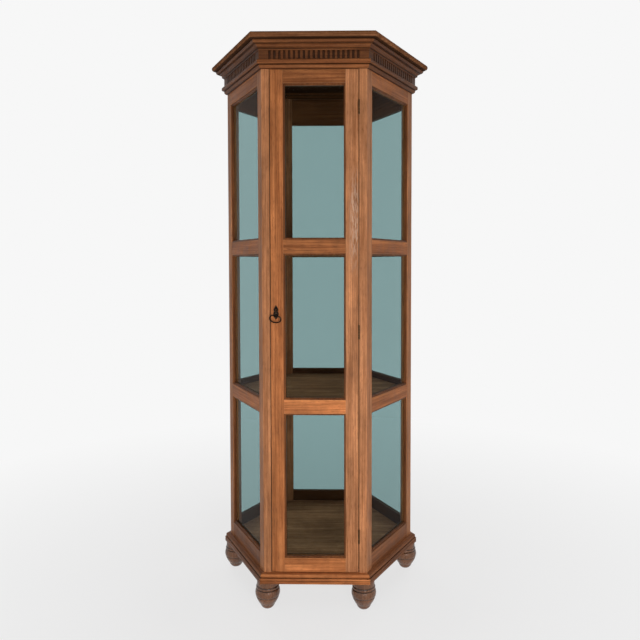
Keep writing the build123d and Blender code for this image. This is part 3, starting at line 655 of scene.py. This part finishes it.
class CABINET_OT_rails(Operator):
    """Finishes the rails of the fixed sides and the head rail"""

    bl_idname = "cabinet.rails"
    bl_label = "Rails"

    def execute(self, context):
        wood = context.scene.cabinet.wood
        seed = SEEDS["rails"]
        for face, angle in FACES.items():
            kinds = ("top_rail", "shelf_rails", "bottom_rail")
            nodes = ["head_rail"] if face == "front" else [f"{kind}_{face}" for kind in kinds]
            grain, inside = grain_along(angle), rail_inside(angle, wood)
            for node in nodes:
                # The side bottom rails are painted darker, as painted shade
                shade = BOTTOM_RAIL_PAINTED_SHADE if node.startswith("bottom") else RAIL_SHADE
                finish = wood_material(f"{node}_wood", wood, shade, grain, seed, inside)
                edge_wear_and_highlight = wood_material(f"{node}_edge", wood, shade, grain, seed, inside, edge_wear_and_highlight=FRAME_WEAR_AND_HIGHLIGHT)
                softened(node, wood.edge, [finish], edge_material=edge_wear_and_highlight)
                seed += 1
        return {"FINISHED"}


class CABINET_OT_door(Operator):
    """Finishes the door's stiles and rails"""

    bl_idname = "cabinet.door"
    bl_label = "Door frame"

    def execute(self, context):
        wood = context.scene.cabinet.wood
        inside = rail_inside(FACES["front"], wood)
        # The door's rails are darker towards the top, partly their own tone and partly painted shade
        for index, (node, shade) in enumerate(DOOR_SHADES.items()):
            grain, lines = 0.0, []
            if node.endswith("stile"):
                grain = UPRIGHT
                # Dirt and painted shade along both edges of each stile
                lines = [("X", corner.x, STILE_EDGE_DIRT_AND_SHADE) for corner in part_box(node)]
            # The hinge stile gets the sheen bands, paler wood that paints reflected sheen
            sheened = node == "door_hinge_stile"
            common = {
                "shade_zone": inside,
                # A pale patch painted as a highlight on the hinge stile
                "highlight_patch": PAINTED_HIGHLIGHT_PATCH if sheened else None,
                "quirks": lines,
                "bands": (wood.sheen_light, wood.sheen_dark) if sheened else None,
            }
            seed = SEEDS["door"] + index
            finish = wood_material(f"{node}_wood", wood, shade, grain, seed, **common)
            edge_wear_and_highlight = wood_material(f"{node}_edge", wood, shade, grain, seed, edge_wear_and_highlight=FRAME_WEAR_AND_HIGHLIGHT, **common)
            softened(node, wood.edge, [finish], edge_material=edge_wear_and_highlight)
        return {"FINISHED"}


class CABINET_OT_cornice(Operator):
    """Finishes the necking, the fluted frieze, the crown and the top board"""

    bl_idname = "cabinet.cornice"
    bl_label = "Cornice"

    def execute(self, context):
        wood = context.scene.cabinet.wood
        neck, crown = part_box("necking_moulding"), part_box("crown_moulding")
        # Dirt and painted shade in the quirks of the necking and the crown
        neck_lines = level_lines(neck[0].z, NECKING_LOW_QUIRKS) + level_lines(neck[1].z, NECKING_TOP_QUIRKS)
        crown_lines = level_lines(crown[0].z, CROWN_LOW_QUIRKS) + level_lines(crown[1].z, CROWN_TOP_QUIRKS)
        quirks = {"necking_moulding": neck_lines, "frieze": [], "crown_moulding": crown_lines}
        # Dirt and painted shade in the bottoms of the flutes
        groove = -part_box("frieze")[0].y - FLUTE_DIRT_AND_SHADE
        for index, (node, lines) in enumerate(quirks.items()):
            finishes = []
            for side, (face, angle) in enumerate(FACES.items()):
                shade_zone = (facing(angle), groove, wood.dirt_and_painted_shade) if node == "frieze" else None
                # The front faces are painted lighter and the others darker, as painted light and shade
                share = CORNICE_FRONT_PAINTED_LIGHT if face == "front" else CORNICE_SIDES_PAINTED_SHADE
                shade = wood.cornice_tone_and_shade * MOULDING_SHADES[node] * share
                seed = SEEDS["mouldings"] + SEEDS_PER_MOULDING * index + side
                name, grain = f"{node}_wood_{face}", grain_along(angle)
                finishes.append(wood_material(name, wood, shade, grain, seed, shade_zone, quirks=lines))
            softened(node, wood.moulding_edge, finishes, sector=face_sector)
        # The ceiling, the top board's underside, gets painted shade
        ceiling = ((0, 0, 1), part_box("top_board")[0].z + CEILING_EDGE, wood.inside_painted_shade * CEILING_SHADE)
        tones = (wood.sheen_light, wood.sheen_dark)
        shade = wood.cornice_tone_and_shade * TOP_BOARD_SHADE
        seed = SEEDS["top_board"]
        top = wood_material("top_board_wood", wood, shade, 0.0, seed, ceiling, DULL, bands=tones)
        softened("top_board", 0, [top])
        return {"FINISHED"}


class CABINET_OT_base(Operator):
    """Finishes the base frame and the turned feet"""

    bl_idname = "cabinet.base"
    bl_label = "Base and feet"

    def execute(self, context):
        wood = context.scene.cabinet.wood
        # Dirt and painted shade in the quirks of the base
        lines = level_lines(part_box("base_frame")[1].z, BASE_TOP_QUIRKS)
        finishes = []
        for side, (face, angle) in enumerate(FACES.items()):
            # The front face is painted lighter and the others darker, as painted light and shade
            shade = wood.base_shade * (BASE_FRONT_PAINTED_LIGHT if face == "front" else BASE_SIDES_PAINTED_SHADE)
            seed = SEEDS["base"] + side
            name, grain = f"base_wood_{face}", grain_along(angle)
            finishes.append(wood_material(name, wood, shade, grain, seed, quirks=lines))
        softened("base_frame", wood.moulding_edge, finishes, sector=face_sector)
        # The feet's grooves are painted dark, with dirt and with shade
        style = {
            "finish": POLISHED,
            "quirks": level_lines(0.0, FOOT_GROOVES),
            "bands": (shaded(wood.sheen_light, FOOT_PALE_BANDS), wood.sheen_dark),
        }
        feet = wood_material("feet_wood", wood, wood.base_shade * FOOT_SHADE, UPRIGHT, SEEDS["feet"], **style)
        softened("feet", 0, [feet], smooth=28.0)
        return {"FINISHED"}


class CABINET_OT_boards(Operator):
    """Finishes the floor, the shelves and their bearers"""

    bl_idname = "cabinet.boards"
    bl_label = "Floor and shelves"

    def execute(self, context):
        wood = context.scene.cabinet.wood
        tones = (wood.board_light, wood.board_dark)
        for index, node in enumerate(("floor_board", "lower_shelf", "upper_shelf")):
            seed = SEEDS["boards"] + index
            style = {"finish": DULL, "specks": 0.4, "bands": tones}
            softened(node, wood.edge, [wood_material(f"{node}_wood", wood, BOARD_SHADE, 0.0, seed, **style)])
        bearers = []
        for side, (face, angle) in enumerate(FACES.items()):
            seed = SEEDS["bearers"] + side
            style = {"finish": DULL, "bands": tones}
            name, grain = f"bearer_wood_{face}", grain_along(angle)
            bearers.append(wood_material(name, wood, BEARER_SHADE, grain, seed, **style))
        softened("shelf_bearers", wood.moulding_edge, bearers, sector=face_sector)
        return {"FINISHED"}


class CABINET_OT_glazing(Operator):
    """Finishes the panes and their beads"""

    bl_idname = "cabinet.glazing"
    bl_label = "Glazing"

    def execute(self, context):
        settings = context.scene.cabinet
        pane = glass_material(settings.glass)
        for node in NODES:
            if node.startswith(("panes_", "door_pane_")):
                paint(node, pane)
        for index, node in enumerate(("case_glazing_beads", "door_glazing_beads")):
            seed = SEEDS["beads"] + index
            # The beads are painted dark, as painted shade beside the panes
            paint(node, wood_material(f"{node}_wood", settings.wood, settings.wood.bead_painted_shade, UPRIGHT, seed))
        return {"FINISHED"}


class CABINET_OT_hardware(Operator):
    """Finishes the hinges, the screws and the lock"""

    bl_idname = "cabinet.hardware"
    bl_label = "Hinges and lock"

    def execute(self, context):
        metal = context.scene.cabinet.metal
        worn_iron, worn_brass = shaded(metal.iron, 1.8), shaded(metal.lock, 1.3)
        iron = metal_material("aged_iron", metal.iron, worn_iron, roughness=0.5, grain_size=0.0012)
        brass = metal_material("dull_brass", metal.lock, worn_brass, roughness=0.42, grain_size=0.0015)
        for node in ("hinge_post_leaves", "hinge_door_leaves", "hinge_pins", "case_screws", "door_screws"):
            softened(node, 0, [iron])
        for node in ("lock_body", "lock_bolt", "strike_plate"):
            softened(node, 0.0003, [brass])
        return {"FINISHED"}


class CABINET_OT_pull(Operator):
    """Finishes the pull: plate, eye and drop ring"""

    bl_idname = "cabinet.pull"
    bl_label = "Pull"

    def execute(self, context):
        metal = context.scene.cabinet.metal
        # The pull's rubbed spots are worn metal and also painted highlights
        patina = metal_material("dark_patina", metal.pull, metal.pull_wear_and_highlight, roughness=0.42, grain_size=0.0016)
        softened("pull_plate", 0.0004, [patina])
        softened("pull_eye", 0, [patina])
        softened("pull_ring", 0, [patina])
        return {"FINISHED"}


# Stage


def seen_only(tree, paper):
    """An even pale tone, and a switch that is on for what is seen, mirrored or seen through glass."""
    path = tree.add("ShaderNodeLightPath").outputs
    seen = tree.math("MAXIMUM", path["Is Camera Ray"], path["Is Glossy Ray"])
    seen = tree.math("MAXIMUM", seen, path["Is Transmission Ray"])
    glow = tree.add("ShaderNodeEmission", {"Color": (paper, paper, paper, 1), "Strength": 1.0})
    return seen, glow.outputs["Emission"]


def floor_material(stage):
    tree = Tree("pale_floor")
    place = tree.add("ShaderNodeTexCoord").outputs["Object"]
    distance = tree.add("ShaderNodeVectorMath", {0: place}, operation="LENGTH").outputs["Value"]
    seen, glow = seen_only(tree, stage.paper)
    even = tree.math("MULTIPLY", seen, tree.remap(distance, GLOW_START, GLOW_END, GLOW_SHARE, 1.0))
    matt = tree.add("ShaderNodeBsdfDiffuse", {"Color": (*FLOOR_WHITE, 1)}).outputs["BSDF"]
    mixed = tree.add("ShaderNodeMixShader", {0: even, 1: matt, 2: glow})
    return tree.finish(mixed.outputs["Shader"])


def aim(thing, place, target):
    turn = (target - place).to_track_quat("-Z", "Y").to_matrix().to_4x4()
    thing.matrix_world = Matrix.Translation(place) @ turn


class CABINET_OT_stage(Operator):
    """Sets the floor, the lights and the camera"""

    bl_idname = "cabinet.stage"
    bl_label = "Stage"

    def execute(self, context):
        scene = context.scene
        stage = scene.cabinet.stage
        scene.view_settings.view_transform = "Standard"
        shape = bmesh.new()
        bmesh.ops.create_circle(shape, cap_ends=True, radius=stage.floor_radius, segments=96)
        mesh = bpy.data.meshes.new("floor")
        shape.to_mesh(mesh)
        shape.free()
        mesh.materials.append(floor_material(stage))
        floor = bpy.data.objects.new("floor", mesh)
        scene.collection.objects.link(floor)
        self.make_world(scene, stage)
        middle = Vector((0, 0, (cad_box[0].z + cad_box[1].z) / 2))
        self.make_light(scene, "key_light", stage.key_power, *KEY_LIGHT, middle)
        self.make_light(scene, "window_light", stage.window_power, *WINDOW_LIGHT, middle, mirrored=True)
        size, (across, behind, up) = BACK_LIGHT
        for side, name in ((-1, "left"), (1, "right")):
            place = (side * across, behind, up)
            self.make_light(scene, f"back_light_{name}", stage.back_power, size, place, middle)
        self.make_light(scene, "top_light", stage.top_power, *TOP_LIGHT, middle)
        self.make_camera(scene, stage)
        return {"FINISHED"}

    def make_world(self, scene, stage):
        world = bpy.data.worlds.new("studio")
        scene.world = world
        world.use_nodes = True
        nodes, links = world.node_tree.nodes, world.node_tree.links
        nodes.clear()
        path = nodes.new("ShaderNodeLightPath")
        seen = path.outputs["Is Camera Ray"]
        for name in ("Is Glossy Ray", "Is Transmission Ray"):
            either = nodes.new("ShaderNodeMath")
            either.operation = "MAXIMUM"
            links.new(seen, either.inputs[0])
            links.new(path.outputs[name], either.inputs[1])
            seen = either.outputs["Value"]
        ambient = nodes.new("ShaderNodeBackground")
        ambient.inputs["Color"].default_value = (1, 1, 1, 1)
        ambient.inputs["Strength"].default_value = stage.ambient
        paper = nodes.new("ShaderNodeBackground")
        paper.inputs["Color"].default_value = (stage.paper, stage.paper, stage.paper, 1)
        mixed = nodes.new("ShaderNodeMixShader")
        links.new(seen, mixed.inputs[0])
        links.new(ambient.outputs["Background"], mixed.inputs[1])
        links.new(paper.outputs["Background"], mixed.inputs[2])
        output = nodes.new("ShaderNodeOutputWorld")
        links.new(mixed.outputs["Shader"], output.inputs["Surface"])

    def make_light(self, scene, name, power, size, place, target, mirrored=False):
        data = bpy.data.lights.new(name, "AREA")
        data.energy = power
        data.shape = "RECTANGLE"
        data.size, data.size_y = size
        light = bpy.data.objects.new(name, data)
        light.visible_camera = False
        light.visible_glossy = mirrored
        scene.collection.objects.link(light)
        aim(light, Vector(place), target)

    def make_camera(self, scene, stage):
        data = bpy.data.cameras.new("camera")
        data.sensor_width = 36.0
        data.lens = stage.lens
        data.shift_x, data.shift_y = stage.shift
        data.clip_start, data.clip_end = 0.05, 60.0
        camera = bpy.data.objects.new("camera", data)
        scene.collection.objects.link(camera)
        turn = Matrix.Rotation(-stage.yaw, 4, "Z") @ Matrix.Rotation(math.pi / 2 + stage.pitch, 4, "X")
        camera.matrix_world = Matrix.Translation(stage.camera) @ turn @ Matrix.Rotation(stage.roll, 4, "Z")
        scene.camera = camera


# Panel and registration

STEPS = (
    CABINET_OT_stage,
    CABINET_OT_posts,
    CABINET_OT_rails,
    CABINET_OT_door,
    CABINET_OT_cornice,
    CABINET_OT_base,
    CABINET_OT_boards,
    CABINET_OT_glazing,
    CABINET_OT_hardware,
    CABINET_OT_pull,
)


class CABINET_PT_panel(Panel):
    bl_label = "Display cabinet"
    bl_idname = "CABINET_PT_panel"
    bl_space_type = "VIEW_3D"
    bl_region_type = "UI"
    bl_category = "Cabinet"

    def draw(self, context):
        for step in STEPS:
            self.layout.operator(step.bl_idname)
        settings = context.scene.cabinet
        for group in (settings.wood, settings.glass, settings.metal, settings.stage):
            box = self.layout.box()
            for name in group.__annotations__:
                box.prop(group, name)


SETTINGS = (WoodSettings, GlassSettings, MetalSettings, StageSettings, CabinetSettings)
CLASSES = (*SETTINGS, *STEPS, CABINET_PT_panel)


def register():
    for item in CLASSES:
        bpy.utils.register_class(item)
    bpy.types.Scene.cabinet = PointerProperty(type=CabinetSettings)


def unregister():
    del bpy.types.Scene.cabinet
    for item in reversed(CLASSES):
        bpy.utils.unregister_class(item)


def main():
    register()
    for step in STEPS:
        group, name = step.bl_idname.split(".")
        if getattr(getattr(bpy.ops, group), name)() != {"FINISHED"}:
            raise RuntimeError(f"{step.bl_label} was not made")


if __name__ == "__main__":
    main()
